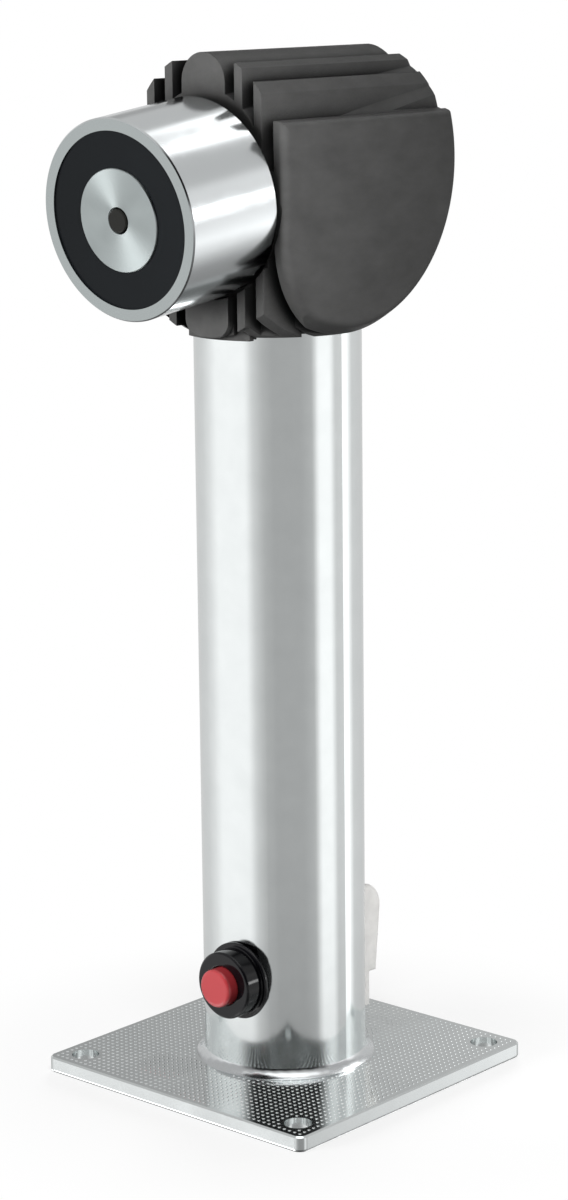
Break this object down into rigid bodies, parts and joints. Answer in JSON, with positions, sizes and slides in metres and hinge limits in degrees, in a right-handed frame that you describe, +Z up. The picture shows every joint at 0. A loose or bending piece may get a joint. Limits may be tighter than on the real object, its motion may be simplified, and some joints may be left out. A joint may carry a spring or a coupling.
{
  "type": "electromagnetic door holder",
  "caption": "Floor-standing electromagnetic door holder: square plate, steel column, ribbed ball head that tilts and swivels, round holding magnet and a red release button.",
  "frame": {"origin": "middle of the floor plate's underside", "axes": "+Z up along the column, -Y the way the magnet and the release button face, +X to the right of someone who looks along +Y, from the magnet's side"},
  "size_m": [0.105, 0.1229, 0.3122],
  "materials": {
    "zinc_plated_steel": "bright zinc plating",
    "polished_steel": "polished, nickel plated",
    "turned_steel": "fine turned face",
    "plain_steel": "zinc plated, dull",
    "spring_steel": "oiled",
    "weld_metal": "weld bead, plated over",
    "brass": "machined",
    "copper_winding": "enamelled copper wire",
    "head_plastic": "moulded, fine grain",
    "black_plastic": "moulded",
    "gloss_black_plastic": "moulded, glossy",
    "potting_resin": "cast resin",
    "pin_plastic": "moulded, dark",
    "red_plastic": "moulded, satin",
    "white_plastic": "moulded, satin",
    "light_grey_plastic": "moulded",
    "liner_plastic": "slippery bearing plastic",
    "rubber": "soft"
  },
  "bodies": {
    "stand": {"base_plate": "zinc_plated_steel", "cable_grommet": "rubber", "column_tube": "zinc_plated_steel", "weld_bead": "weld_metal", "friction_liner": "liner_plastic", "seat_ring": "plain_steel", "switch_bezel": "gloss_black_plastic", "switch_body": "black_plastic", "switch_saddle": "black_plastic", "switch_terminals": "brass", "button_spring": "spring_steel", "terminal_bracket": "plain_steel", "terminal_block": "light_grey_plastic", "terminal_screws": "plain_steel", "rear_cover": "white_plastic", "cover_screw": "plain_steel"},
    "swivel": {"clamp_shoe": "plain_steel", "tension_bolt": "plain_steel", "clamp_disc": "plain_steel", "disc_springs": "spring_steel", "clamp_nut": "plain_steel"},
    "head": {"head_housing": "head_plastic", "socket_cup": "brass", "socket_ring": "brass"},
    "magnet": {"magnet_gasket": "rubber", "magnet_pot": "polished_steel", "pole_core": "turned_steel", "coil_bobbin": "black_plastic", "coil_winding": "copper_winding", "potting_ring": "potting_resin", "magnet_stud": "plain_steel", "ejector_spring": "spring_steel"},
    "ejector": {"ejector_pin": "pin_plastic"},
    "button": {"button_cap": "red_plastic"}
  },
  "joints": [
    {"name": "head_swivel", "type": "hinge", "parent": "stand", "child": "swivel", "pos_m": [0, 0, 0.27934], "axis": [0, 0, 1], "range_deg": [-170, 170]},
    {"name": "head_tilt", "type": "hinge", "parent": "swivel", "child": "head", "pos_m": [0, 0, 0.27934], "axis": [-1, 0, 0], "range_deg": [0, 90]},
    {"name": "magnet_nod", "type": "hinge", "parent": "head", "child": "magnet", "pos_m": [0, -0.02505, 0.27229], "axis": [-1, 0, 0], "range_deg": [0, 7.3]},
    {"name": "ejector_press", "type": "slide", "parent": "magnet", "child": "ejector", "axis": [0, 0.9919, 0.1271], "range_m": [0, 0.0025], "stiffness_N_per_m": 1000, "springref_m": -0.002, "deforming": ["ejector_spring"]},
    {"name": "button_press", "type": "slide", "parent": "stand", "child": "button", "axis": [0, 1, 0], "range_m": [0, 0.0025], "stiffness_N_per_m": 800, "springref_m": -0.002, "deforming": ["button_spring"]}
  ]
}
